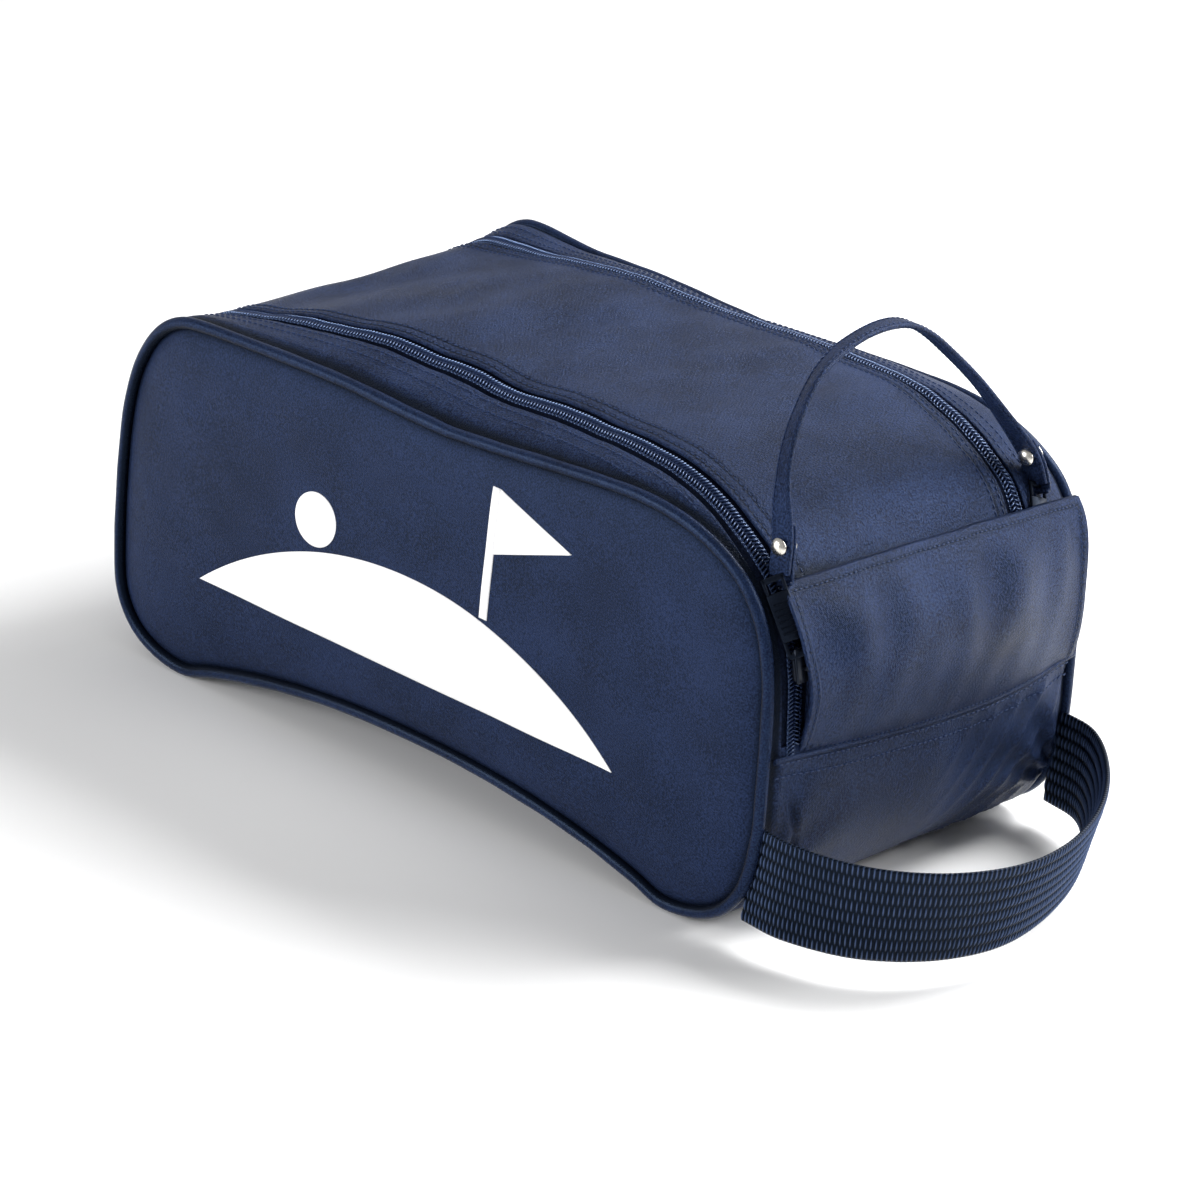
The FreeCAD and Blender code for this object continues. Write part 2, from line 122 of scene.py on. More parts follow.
def smooth_path(points, count):
    """Even points along a smooth curve through given ones, and its length."""
    points = np.array(points, float)
    padded = np.vstack([2 * points[0] - points[1], points, 2 * points[-1] - points[-2]])
    out = []
    for k in range(1, len(padded) - 2):
        p0, p1, p2, p3 = padded[k - 1:k + 3]
        for t in np.linspace(0, 1, 40, endpoint=False):
            out.append(0.5 * (2 * p1 + (p2 - p0) * t + (2 * p0 - 5 * p1 + 4 * p2 - p3) * t ** 2
                              + (3 * p1 - p0 - 3 * p2 + p3) * t ** 3))
    out.append(points[-1])
    out = np.array(out)
    reach = distances(out)
    return read_line(np.linspace(0, reach[-1], count), reach, out), reach[-1]


def outline_points():
    """The sagging bag's side outline from the top middle, right, under and back up."""
    under = [(x, 0.3 + ARCH_RISE * (1 - (abs(x) / ARCH_HALF) ** 2.2)) for x in range(112, -113, -16)]
    loop = [*RIGHT_HALF, *under, *LEFT_HALF, RIGHT_HALF[0]]
    return smooth_path(loop, 900)[0][:-1]


class Outline:
    """Closed curve read by distance: 0 at the top middle, positive towards the right end."""

    def __init__(self, points, count=1800, blur=5.0):
        loop = np.vstack([points, points[:1]])
        reach = distances(loop)
        self.length = reach[-1]
        self.curve = read_line(np.linspace(0, self.length, count, endpoint=False), reach, loop)
        steps = int(blur / (self.length / count))
        window = np.hanning(2 * steps + 1)
        window /= window.sum()
        wrapped = np.vstack([self.curve[-steps:], self.curve, self.curve[:steps]])
        self.curve = np.stack([np.convolve(column, window, "valid") for column in wrapped.T], axis=1)
        self.step = self.length / count
        self.outward = 1.0
        if self.at(np.zeros(1))[3][0] < 0:
            self.outward = -1.0

    def at(self, distance):
        """Places and outward normals, as x, z, nx, nz."""
        index = np.asarray(distance) / self.step
        count = len(self.curve)
        low = np.floor(index).astype(int)
        part = (index - low)[..., None]
        here = self.curve[low % count] * (1 - part) + self.curve[(low + 1) % count] * part
        ahead = unit(self.curve[(low + 2) % count] - self.curve[(low - 1) % count]) * self.outward
        return here[..., 0], here[..., 1], -ahead[..., 1], ahead[..., 0]

    def around(self, count):
        """Even distances round the whole outline, with the places and normals there."""
        s = np.linspace(0, self.length, count, endpoint=False)
        return s, *self.at(s)

    def find(self, z, side):
        """Distance at which the end wall on one side reaches a height."""
        reach = side * np.linspace(60, 330, 2000)
        return reach[np.argmin(np.abs(self.at(reach)[1] - z))]


side_line = Outline(outline_points())
S_HINGE = side_line.find(HINGE_Z, -1)
S_SEAM = side_line.find(SEAM_Z, 1)
S_FREE = side_line.find(SEAM_Z + 6, 1)


def end_bulge(y, z):
    """How far the soft right end stands out past the outline."""
    across = 1 - np.clip(np.abs(y) / WALL_Y, 0, 1) ** 2.4
    up = ease((z - 2) / 40) * (1 - ease((z - 58) / 34))
    return 4.0 * across * up


CROWN_HEIGHTS = ((-330, 0), (-205, 0), (-165, -5), (-140, -7), (-95, 4), (-40, 11), (20, 12), (80, 11),
                 (120, 8), (150, 4), (185, 2), (330, 0))
FRONT_ZIP = ((-230, -66), (-140, -62.5), (-20, -62.5), (50, -66.5), (80, -70), (110, -74), (135, -79),
             (160, -80), (230, -78))
BACK_ZIP = ((-230, 66), (-150, 67), (-110, 64.5), (-60, 64), (-15, 67), (30, 66.5), (75, 62), (110, 59),
            (135, 56.5), (155, 54), (230, 53))


def table(points, s):
    """Listed values along the gusset, softened."""
    places, values = np.array(points, float).T
    return sum(np.interp(s + step, places, values) for step in (-16, -8, 0, 8, 16)) / 5


def crown(s, y):
    """Height of the soft top over a straight line between the two pipings."""
    across = 1 - np.clip(np.abs(y) / WALL_Y, 0, 1) ** 4
    return (table(CROWN_HEIGHTS, s) + 0.6 * ripple(s, y, 3) + 0.22 * ripple(s * 2.6, y * 1.6, 4)) * across


def settle(points):
    """The empty bag's slump: the back edge stands higher than the front, its far left end leans in."""
    x, y, z = points.T
    to_back = ease((y + 85) / 170) * ease((z - 50) / 100)
    stand = 9.5 - 5 * ease((x + 150) / 60) - 3 * ease((x - 10) / 110)
    lean = ease((y + 70) / 150) * ease((-x - 30) / 130) * ease((z - 30) / 100)
    return np.stack([x + 14 * lean, y, z + stand * to_back], axis=1)


def seam_dip(y):
    """The gusset turns down into its seam with the piping."""
    return 2.4 * ease((np.abs(y) - 82) / 6)


def wall_skin(s, y, lift):
    """Points at a height above the outline, moved out by the bulge of the right end."""
    x, z, nx, nz = side_line.at(s)
    out = np.where(x > 100, end_bulge(y, z), 0.0)
    return np.stack([x + nx * lift + out, y, z + nz * lift], axis=-1)


def skin(s, y, lift=0.0):
    """Points on the gusset: distance along the outline, place across, height above it."""
    s, y, lift = np.broadcast_arrays(np.asarray(s, float), np.asarray(y, float), lift)
    return wall_skin(s, y, crown(s, y) + lift - seam_dip(y))


def front_zip(s):
    """The front chain's place across the bag: the soft lid has slid out of line."""
    return table(FRONT_ZIP, s)


def back_zip(s):
    """The back chain's place across the bag."""
    return table(BACK_ZIP, s)


# ---- mesh building

def to_metres(points):
    """From the bag's mm, before its slump, to the shared frame."""
    points = settle(np.asarray(points, float).reshape(-1, 3))
    return (points + (SHIFT, 0, 0)) * MM


# Where the cloth starts and stops bending, for each body hinged to the root.
HINGES = {
    "lid": ((-171, 0, HINGE_Z), (-157, 0, HINGE_Z + 20)),
    "flap": ((170, 0, SEAM_Z), (170, 0, SEAM_Z + 18)),
    "handle": ((168, 0, 29), (188, 0, 29)),
}


def make_object(name, points, faces, material, body, slot, uv=None, painted_shade=None):
    """One mesh piece in the frame's metres. It replaces the CAD node it is named after."""
    node_name = name
    if node_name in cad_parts:
        name += "_visual"
    mesh = bpy.data.meshes.new(name)
    mesh.from_pydata(to_metres(points).tolist(), [], faces)
    mesh.polygons.foreach_set("use_smooth", [True] * len(mesh.polygons))
    if uv is not None:
        layer = mesh.uv_layers.new(name="UVMap")
        corners = np.empty(len(mesh.loops), dtype=np.int32)
        mesh.loops.foreach_get("vertex_index", corners)
        layer.data.foreach_set("uv", np.asarray(uv, float).reshape(-1, 2)[corners].ravel())
    # Painted shade: a per-point value by which the cloth materials darken towards near black.
    if painted_shade is not None:
        mesh.attributes.new("painted_shade", "FLOAT", "POINT").data.foreach_set("value", np.ravel(painted_shade))
    mesh.materials.append(material)
    obj = bpy.data.objects.new(name, mesh)
    bpy.context.scene.collection.objects.link(obj)
    if body in HINGES:
        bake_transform(obj)
    else:
        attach(obj, body)
    if node_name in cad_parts:
        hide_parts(node_name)
    return obj


def grid_faces(rows, columns, wrap_rows=False, wrap_columns=False):
    i = np.arange(rows if wrap_rows else rows - 1)[:, None]
    j = np.arange(columns if wrap_columns else columns - 1)[None, :]
    i2 = (i + 1) % rows
    j2 = (j + 1) % columns
    quads = np.stack([i * columns + j, i * columns + j2, i2 * columns + j2, i2 * columns + j], axis=-1)
    return quads.reshape(-1, 4).tolist()


def flipped(faces):
    return [face[::-1] for face in faces]


def two_sided(outer, inner):
    """Loops that run out along one side of a sheet and back along the other."""
    return np.concatenate([outer, inner[:, ::-1]], axis=1)


def grid_uv(u, v):
    """Surface coordinates in mm, for the weave."""
    return np.stack(np.broadcast_arrays(u, v), axis=-1)


def tube_faces(rows, columns):
    """Closed loops of points joined along rows, with both ends capped."""
    faces = grid_faces(rows, columns, wrap_columns=True)
    faces.append(list(range(columns))[::-1])
    faces.append(list(range((rows - 1) * columns, rows * columns)))
    return faces


def capsule(rings=3, sides=8):
    """Unit capsule along X: half length 1 and radius 1, as points and faces."""
    points = [(-1.0, 0.0, 0.0)]
    radii = np.sin(np.linspace(0.7, math.pi - 0.7, rings)) ** 0.5
    for x, radius in zip(np.linspace(-0.86, 0.86, rings), radii):
        for angle in circle(sides):
            points.append((x, radius * math.cos(angle), radius * math.sin(angle)))
    points.append((1.0, 0.0, 0.0))
    faces = []
    for k in range(sides):
        faces.append((0, 1 + (k + 1) % sides, 1 + k))
        last = 1 + (rings - 1) * sides
        faces.append((len(points) - 1, last + k, last + (k + 1) % sides))
    for ring in range(rings - 1):
        for k in range(sides):
            a = 1 + ring * sides + k
            b = 1 + ring * sides + (k + 1) % sides
            faces.append((a, b, b + sides, a + sides))
    return np.array(points), faces


CAPSULE_POINTS, CAPSULE_FACES = capsule()


def scatter(centres, along, up, half, width, thick):
    """Many capsules: each centre with its own length direction and upward direction."""
    along = unit(along)
    up = unit(up - along * np.sum(up * along, axis=-1, keepdims=True))
    side = np.cross(up, along)
    half = np.broadcast_to(half, len(centres))[:, None, None]
    points = (centres[:, None]
              + along[:, None] * CAPSULE_POINTS[:, 0:1] * half
              + side[:, None] * CAPSULE_POINTS[:, 1:2] * width
              + up[:, None] * CAPSULE_POINTS[:, 2:3] * thick)
    firsts = np.arange(len(centres)) * len(CAPSULE_POINTS)
    faces = [[v + first for v in face] for first in firsts.tolist() for face in CAPSULE_FACES]
    return points.reshape(-1, 3), faces


class Lump:
    """Collects parts of one mesh."""

    def __init__(self):
        self.points = []
        self.faces = []
        self.count = 0

    def add(self, points, faces):
        points = np.asarray(points).reshape(-1, 3)
        self.points.append(points)
        self.faces.extend([[v + self.count for v in face] for face in faces])
        self.count += len(points)

    def finish(self, name, *args, **kwargs):
        return make_object(name, np.vstack(self.points), self.faces, *args, **kwargs)


def stitches(line, normals, pitch=3.0, radius=0.28):
    """Thread stitches along a dense line of points, two thirds of their pitch long."""
    reach = distances(line)
    middles = np.arange(pitch / 2, reach[-1] - pitch / 2, pitch)
    centres = read_line(middles, reach, line)
    ahead = read_line(middles + 0.6, reach, line) - centres
    up = read_line(middles, reach, normals)
    return scatter(centres + unit(up) * 0.05, ahead, up, pitch * 0.33, radius, radius)


# ---- materials

def srgb(*channels):
    out = []
    for channel in channels:
        c = channel / 255
        out.append(c / 12.92 if c <= 0.04045 else ((c + 0.055) / 1.055) ** 2.4)
    return (*out, 1.0)


def new_material(name):
    material = bpy.data.materials.new(name)
    material.use_nodes = True
    return material, material.node_tree, material.node_tree.nodes["Principled BSDF"]


def feed(tree, target, inputs):
    """Set a node's inputs: a number or colour is stored, another node's output is linked."""
    for key, value in inputs.items():
        if isinstance(value, bpy.types.NodeSocket):
            tree.links.new(value, target.inputs[key])
        else:
            target.inputs[key].default_value = value


def add_node(tree, kind, inputs, **settings):
    made = tree.nodes.new(kind)
    for key, value in settings.items():
        setattr(made, key, value)
    feed(tree, made, inputs)
    return made


def maths(tree, operation, *terms):
    """Output of a maths node, whose terms are numbers or outputs."""
    return add_node(tree, "ShaderNodeMath", dict(enumerate(terms)), operation=operation).outputs[0]


def noise(tree, place, scale, detail, roughness):
    inputs = {"Vector": place, "Scale": scale, "Detail": detail, "Roughness": roughness}
    return add_node(tree, "ShaderNodeTexNoise", inputs).outputs["Fac"]


def colour_ramp(tree, level, low, dark, high, light):
    ramp = add_node(tree, "ShaderNodeValToRGB", {"Fac": level})
    for stop, place, colour in zip(ramp.color_ramp.elements, (low, high), (dark, light)):
        stop.position = place
        stop.color = colour
    return ramp.outputs["Color"]


def bump(tree, height, strength, distance):
    inputs = {"Height": height, "Strength": strength, "Distance": distance}
    return add_node(tree, "ShaderNodeBump", inputs).outputs["Normal"]


BLUE_GLOSS = srgb(150, 185, 240)


def cloth(name, dark, light, grain=1500.0, grain_depth=0.6, roughness=0.5, gloss=0.5, spread=0.13,
          relief=0.0004):
    """Woven polyester: fine mottled grain over a plain weave, with a soft satin sheen."""
    material, tree, shader = new_material(name)
    place = add_node(tree, "ShaderNodeTexCoord", {})
    fine = noise(tree, place.outputs["Object"], grain, 3.0, 0.65)
    broad = noise(tree, place.outputs["Object"], 38.0, 2.0, 0.5)
    level = maths(tree, "SUBTRACT", maths(tree, "MULTIPLY_ADD", broad, 0.25, fine), 0.125)
    colour = colour_ramp(tree, level, 0.51 - spread, dark, 0.51 + spread, light)
    # Painted shade: the mesh's per-point shade value mixes the weave colour towards near black at seams,
    # stitch grooves, creases and beside the flap's edge.
    shadow = add_node(tree, "ShaderNodeAttribute", {}, attribute_name="painted_shade")
    # Sockets of a mix of colours, whose names repeat those of other mixes.
    factor, first, second, result = 0, 6, 7, 2
    darken = add_node(tree, "ShaderNodeMix", {}, data_type="RGBA")
    feed(tree, darken, {factor: shadow.outputs["Fac"], first: colour, second: srgb(2, 3, 6)})
    split = add_node(tree, "ShaderNodeSeparateXYZ", {0: place.outputs["UV"]})
    thread_pitch = 0.75
    warp, weft = (maths(tree, "SINE", maths(tree, "MULTIPLY", split.outputs[axis],
                                            2 * math.pi / thread_pitch)) for axis in (0, 1))
    height = maths(tree, "MULTIPLY_ADD", maths(tree, "MULTIPLY", warp, weft), 0.12, fine)
    feed(tree, shader, {
        "Base Color": darken.outputs[result], "Normal": bump(tree, height, grain_depth, relief),
        "Roughness": roughness, "IOR": 1.18, "Specular IOR Level": gloss, "Specular Tint": BLUE_GLOSS,
        "Sheen Weight": 0.02, "Sheen Roughness": 0.45, "Sheen Tint": srgb(150, 175, 215)})
    return material


def plain(name, dark, light, scale, roughness, metallic=0.0, bump_depth=0.0, coat=0.0, gloss=0.2):
    """Moulded, painted or plated surface with fine colour and roughness variation."""
    material, tree, shader = new_material(name)
    place = add_node(tree, "ShaderNodeTexCoord", {})
    fine = noise(tree, place.outputs["Object"], scale, 3.0, 0.6)
    to_low, to_high = 3, 4
    spread = add_node(tree, "ShaderNodeMapRange",
                      {0: fine, to_low: roughness * 0.85, to_high: min(1.0, roughness * 1.2)})
    feed(tree, shader, {
        "Base Color": colour_ramp(tree, fine, 0.3, dark, 0.7, light), "Roughness": spread.outputs[0],
        "Metallic": metallic, "Specular IOR Level": 0.5 if metallic else gloss,
        "Specular Tint": (1, 1, 1, 1) if metallic else BLUE_GLOSS, "Coat Weight": coat})
    if bump_depth:
        feed(tree, shader, {"Normal": bump(tree, fine, bump_depth, 0.0003)})
    return material


def ribbed(name, dark, light, roughness):
    """Webbing with painted highlight on its raised ribs and painted shade, near black, in the gaps between
    them.
    """
    material, tree, shader = new_material(name)
    place = add_node(tree, "ShaderNodeTexCoord", {})
    height = add_node(tree, "ShaderNodeAttribute", {}, attribute_name="rib")
    fine = noise(tree, place.outputs["Object"], 2600, 2.0, 0.6)
    # Painted highlight and shade: rib height sets the colour, light on the ribs and near black in the gaps.
    level = maths(tree, "MULTIPLY_ADD", fine, 0.3, height.outputs["Fac"])
    feed(tree, shader, {
        "Base Color": colour_ramp(tree, level, 0.45, dark, 1.0, light),
        "Normal": bump(tree, fine, 0.3, 0.0003), "Roughness": roughness, "IOR": 1.22,
        "Specular IOR Level": 0.9, "Specular Tint": BLUE_GLOSS})
    return material


WALL = cloth("navy_polyester", srgb(13, 20, 38), srgb(33, 45, 76), roughness=0.38, gloss=1.0)
SATIN = cloth("navy_satin", srgb(11, 17, 36), srgb(40, 54, 88), grain=1350, grain_depth=0.9, roughness=0.34,
              gloss=1.0, spread=0.1, relief=0.0007)
PIPE = cloth("navy_piping", srgb(14, 21, 40), srgb(32, 45, 74), grain_depth=0.3, roughness=0.26, gloss=1.0)
TAPE = cloth("zip_tape", srgb(8, 11, 22), srgb(26, 33, 55), grain=1400, grain_depth=0.8, roughness=0.6)
BINDING = cloth("seam_binding", srgb(4, 5, 10), srgb(9, 11, 18), roughness=0.7)
# Its two colours are painted shade in the rib gaps and painted highlight on the ribs.
WEB = ribbed("ribbed_webbing", srgb(0, 1, 3), srgb(70, 86, 120), 0.32)
THREAD = plain("thread", srgb(32, 42, 70), srgb(56, 70, 104), 2500, 0.45)
COIL = plain("nylon_coil", srgb(9, 14, 30), srgb(34, 46, 80), 1500, 0.24, gloss=0.9)
BLACK = plain("black_plastic", srgb(4, 5, 9), srgb(13, 15, 22), 1800, 0.42, bump_depth=0.25)
PAINT = plain("black_paint", srgb(5, 6, 10), srgb(13, 15, 21), 1200, 0.34, coat=0.12)
NICKEL = plain("polished_nickel", srgb(205, 200, 190), srgb(235, 232, 226), 900, 0.26, metallic=1.0)
WHITE = plain("print_film", srgb(238, 238, 238), srgb(252, 252, 252), 2200, 0.55, bump_depth=0.15)


# ---- shell pieces

def edge_distance(x, z):
    """Distance in from the side outline."""
    line_x, line_z = side_line.curve.T
    flat_x, flat_z = np.ravel(x), np.ravel(z)
    out = np.empty(len(flat_x))
    for start in range(0, len(flat_x), 2000):
        part = slice(start, start + 2000)
        gap = np.hypot(flat_x[part, None] - line_x, flat_z[part, None] - line_z)
        out[part] = gap.min(axis=1)
    return out.reshape(np.shape(x))


def side_face(x, z):
    """Distance of a side panel's outer face from the bag's middle."""
    depth = np.maximum(edge_distance(x, z) - 3.4, 0)
    full = 4.7 * (1 - np.exp(-depth / 6))
    middle = 1.4 * np.clip(1 - (x / 165) ** 2, 0, 1) * np.clip(1 - ((z - 82) / 80) ** 2, 0, 1)
    return WALL_Y + 0.9 + full + middle + 0.22 * ripple(x, z, 11) * (1 - np.exp(-depth / 12))


def side_panel(name, side):
    """Panel inside the piping: slightly full, and pulled in where it meets the seam."""
    around, rings, inset = 540, 38, 2.6
    _, x, z, nx, nz = side_line.around(around)
    edge = np.stack([x - nx * inset, z - nz * inset], axis=1)
    centre = np.array([0.0, 84.0])
    shrink = 1 - np.linspace(0, 1, rings) ** 1.4 * 0.985
    flat = centre + (edge - centre)[None] * shrink[:, None, None]
    outer = np.stack([flat[..., 0], -side_face(flat[..., 0], flat[..., 1]), flat[..., 1]], axis=-1)
    hub = np.array([[centre[0], -side_face(*centre), centre[1]]])
    outer = np.vstack([outer.reshape(-1, 3), hub])
    count = len(outer)
    last_ring = (rings - 1) * around
    following = ((np.arange(around) + 1) % around).tolist()
    faces = grid_faces(rings, around, wrap_columns=True)
    faces += [[last_ring + k, last_ring + following[k], count - 1] for k in range(around)]
    inside = [[v + count for v in face[::-1]] for face in faces]
    rim = [[k, k + count, following[k] + count, following[k]] for k in range(around)]
    faces = faces + inside + rim
    points = np.vstack([outer, outer + (0, FABRIC, 0)]) * (1, -side, 1)
    # Painted shade in the groove where the panel tucks in beside the piping.
    depth = edge_distance(points[:, 0], points[:, 2]) - 4.2
    painted_shade = 0.95 * np.exp(-(np.maximum(depth, 0) / 1.9) ** 2)
    panel = make_object(name, points, flipped(faces) if side > 0 else faces, WALL, "root", "wall_fabric",
                        uv=points[:, (0, 2)], painted_shade=painted_shade)


def piping(name, side):
    """Round piping along the whole outline, with painted shade where it turns in beside the panel."""
    around, sides = 640, 24
    s, x, z, nx, nz = side_line.around(around)
    angle = circle(sides)
    radius = PIPING + 0.12 * ripple(s, s * 0, 5)[:, None]
    out = -PIPING + radius * np.cos(angle)[None]
    y = side * (HALF_WIDTH - PIPING) + radius * np.sin(angle)[None]
    points = np.stack([x[:, None] + nx[:, None] * out, y, z[:, None] + nz[:, None] * out], axis=-1)
    faces = grid_faces(around, sides, wrap_rows=True, wrap_columns=True)
    # Painted shade on the side that turns in beside the panel.
    from_panel = np.abs(angle - math.pi)
    painted_shade = 0.9 * (1 - ease((from_panel - 0.9) / 0.8))
    make_object(name, points, faces, PIPE, "root", "piping_fabric",
                uv=grid_uv(s[:, None], angle[None] * PIPING), painted_shade=np.broadcast_to(painted_shade, (around, sides)))


def cross_section(width, thickness, rows, spacing=1.5):
    """Half-round edges, a top with extra points beside stitch rows, and a bottom."""
    top = set(np.linspace(0.8, width - 0.8, max(3, int(width / spacing))).round(3))
    for row in rows:
        top.update(np.round(row + np.array([-1.1, -0.55, 0, 0.55, 1.1]), 3))
    top = np.array(sorted(v for v in top if 0.7 < v < width - 0.7))
    sunk = np.zeros_like(top)
    for row in rows:
        sunk -= 0.45 * np.exp(-((top - row) / 0.7) ** 2)
    half = thickness / 2
    edge = [(0.25, -0.25), (0.0, -half), (0.25, -thickness + 0.25)]
    last = [(width - a, b) for a, b in edge]
    bottom = [(v, -thickness) for v in np.linspace(width - 1, 1, max(2, int(width / 6)))]
    return edge[::-1] + list(zip(top, sunk)) + last + bottom


def seam_shade(y):
    """Painted shade beside the seam with the piping."""
    return 0.9 * np.exp(-(np.maximum(WALL_Y - 2.0 - np.abs(y), 0) / 0.8) ** 2)


def gusset_band(name, s_range, near, far, lift, thickness, material, body, slot, rows=(), under=None):
    """Closed strip of fabric laid on the gusset between two lines across it."""
    step = 2.4
    s = np.arange(s_range[0], s_range[1] + step / 2, step)
    start = near(s)[:, None]
    reach = far(s)[:, None] - start
    width = float(np.mean(np.abs(reach)))
    section = np.array(cross_section(width, thickness, rows))
    y = start + reach * section[:, 0] / width
    points = skin(s[:, None], y, lift + section[:, 1][None])
    faces = tube_faces(len(s), len(section))
    painted_shade = seam_shade(y)
    # Painted shade along each stitch row's sunk groove.
    for row in rows:
        painted_shade = np.maximum(painted_shade, 0.85 * np.exp(-((section[:, 0] - row) / 0.6) ** 2)[None])
    # Painted shadow on the lid beside the flap's top edge, which stands over it.
    if under is not None:
        gap = np.min(np.linalg.norm(points[:, :, None] - under[None, None], axis=-1), axis=-1)
        painted_shade = np.maximum(painted_shade, 0.9 * (1 - ease((gap - 4.0) / 2.4)))
    return make_object(name, points, flipped(faces) if reach[0, 0] > 0 else faces, material, body, slot,
                       uv=grid_uv(s[:, None], y), painted_shade=painted_shade)


def gusset_row(s_range, y_of, lift):
    """A line along the gusset, clear of its seams, and the normals along it."""
    s = np.arange(s_range[0], s_range[1], 1.0)
    s = s[np.abs(y_of(s)) < WALL_Y - 2.5]
    line = skin(s, y_of(s), lift)
    return line, skin(s, y_of(s), lift + 1) - line


def zips_lid_and_strips():
    """Lid, and on each side of it a zip and the strip that joins the zip to the piping."""
    lid_rows = (2.6, 7.0)
    strip_rows = (3.0, 8.0)
    half_chain = 5.6
    lid_width = 121.0
    # The lid gets a painted shadow beside the flap's top edge.
    lid = gusset_band("lid_panel", (S_HINGE, S_FREE), lambda s: front_zip(s) + half_chain,
                      lambda s: back_zip(s) - half_chain, 1.2, FABRIC, SATIN, "lid", "wall_fabric",
                      rows=(*lid_rows, lid_width - 7.0, lid_width - 3.0),
                      under=flap_surface(np.ones(60), np.linspace(0, 1, 60)))
    lid_thread = Lump()
    wall_thread = Lump()
    for name, side, zip_line, cut in (("front", -1, front_zip, 0.017), ("back", 1, back_zip, 0.023)):
        for row in lid_rows:
            lid_thread.add(*stitches(*gusset_row((S_HINGE + 2, S_FREE - 2),
                                                 lambda s: zip_line(s) - side * (half_chain + row), 1.25)))
        for row in strip_rows:
            wall_thread.add(*stitches(*gusset_row((S_HINGE + 2, S_SEAM - 2),
                                                  lambda s: zip_line(s) + side * (half_chain + row), 0.55)))
        strip = gusset_band(name + "_zip_strip", (S_HINGE, S_SEAM),
                            lambda s: zip_line(s) + side * half_chain, lambda s: s * 0 + side * GUSSET_EDGE,
                            0.5, FABRIC, SATIN, "root", "wall_fabric")
        for part, away, body, end in (("outer", side, "root", S_SEAM), ("inner", -side, "lid", S_FREE)):
            gusset_band(f"{name}_{part}_tape", (S_HINGE, end), lambda s: zip_line(s) + away * 0.4,
                        lambda s: zip_line(s) + away * 12, -1.1, 0.7, TAPE, body, "zip_tape")
            coil(f"{name}_{part}_coil", zip_line, away, body, end)
    lid_thread.finish("lid_stitching", THREAD, "lid", "wall_fabric")
    wall_thread.finish("strip_stitching", THREAD, "root", "wall_fabric")


def coil(name, zip_line, away, body, end):
    """One half of a chain: nylon loops across the tape, over a cord sewn along it."""
    pitch = 1.6
    s = np.arange(S_HINGE + 3, end - 3, pitch) + (pitch / 2 if away > 0 else 0.0)
    y = zip_line(s) + away * 1.5
    centres = skin(s, y, 0.35)
    up = skin(s, y, 1.35) - centres
    across = skin(s, y + away, 0.35) - centres
    ahead = skin(s + 1, y, 0.35) - centres
    lump = Lump()
    lump.add(*scatter(centres, across + 0.42 * ahead, up, 2.1, 0.46, 0.8))
    line_s = np.arange(S_HINGE + 2, end - 2, 2.0)
    middle = skin(line_s, zip_line(line_s) + away * 3.1, 0.1)
    line_up = skin(line_s, zip_line(line_s) + away * 3.1, 1.1) - middle
    lump.add(*scatter(middle, np.gradient(middle, axis=0), line_up, 1.25, 0.5, 0.5))
    lump.finish(name, COIL, body, "zip_coil")


def lower_gusset():
    """Floor, left end wall and the wrinkled lower right end wall."""
    foot = S_SEAM + 100
    around = side_line.length
    pieces = (
        ("right_end_panel", foot - 108, foot, end_wrinkles, 1.1, 1.1, 0.108),
        ("bottom_panel", foot, around - foot, None, 3.0, 2.6, 0.25),
        ("left_end_panel", around - foot, around + S_HINGE, None, 2.4, 2.6, 0.105),
    )
    for name, start, stop, relief, step, step_across, cut in pieces:
        columns = int(2 * GUSSET_EDGE / step_across)
        s = np.arange(start, stop + step / 2, step)
        s_grid, y_grid = np.meshgrid(s, np.linspace(-GUSSET_EDGE, GUSSET_EDGE, columns), indexing="ij")
        lift = relief(s_grid, y_grid) if relief else np.zeros_like(s_grid)
        rise = lift - seam_dip(y_grid)
        points = two_sided(wall_skin(s_grid, y_grid, rise), wall_skin(s_grid, y_grid, rise - FABRIC))
        flat = grid_uv(s_grid, y_grid)
        # Painted shade beside the seams and in the wrinkles' valleys.
        painted_shade = np.maximum(seam_shade(y_grid), 0.35 * ease(-lift / 1.8))
        wall = make_object(name, points, tube_faces(len(s), 2 * columns), SATIN, "root", "wall_fabric",
                           uv=two_sided(flat, flat), painted_shade=two_sided(painted_shade, painted_shade))


def end_wrinkles(s, y):
    """Folds that fan out from the two ends of the handle, up the lower right wall."""
    z = side_line.at(s)[1]
    total = 0.25 * ripple(y, z, 21)
    for origin_y, origin_z, strength, folds in ((90, 22, 1.3, 13), (-88, 28, 1.0, 9)):
        dy = np.abs(y - origin_y)
        dz = z - origin_z
        angle = np.arctan2(dz, dy + 1)
        reach = np.hypot(dy, dz)
        fade = np.exp(-reach / 48) * ease(reach / 14) * ease((angle + 0.4) / 0.5)
        total = total + strength * fade * np.sin(folds * angle + 0.6 * np.sin(reach / 9))
    across = 0.78 * y - 0.63 * z + 2.2 * np.sin(z / 11)
    pulled = ease(y / 40) * ease((86 - y) / 8) * ease(z / 16)
    total = total + 0.8 * pulled * (1 - 2 * np.abs(np.sin(across / 3.7)) ** 0.7)
    total = total - 1.4 * np.exp(-((y + 72 + 0.25 * (z - 40)) / 1.7) ** 2) * ease((62 - z) / 14)
    below = seam_height(y) - z
    hem = 0.5 * (1 - ease((below - 6) / 2))
    return total * ease(below / 8) + hem


# ---- end flap

def seam_height(y):
    """The sewn seam dips in the middle and rises to its back end."""
    places, heights = np.array(((-90, 76), (-45, 72.5), (0, 69.5), (40, 68.5), (70, 71), (90, 74.5))).T
    return sum(np.interp(y + step, places, heights) for step in (-12, -4, 4, 12)) / 4


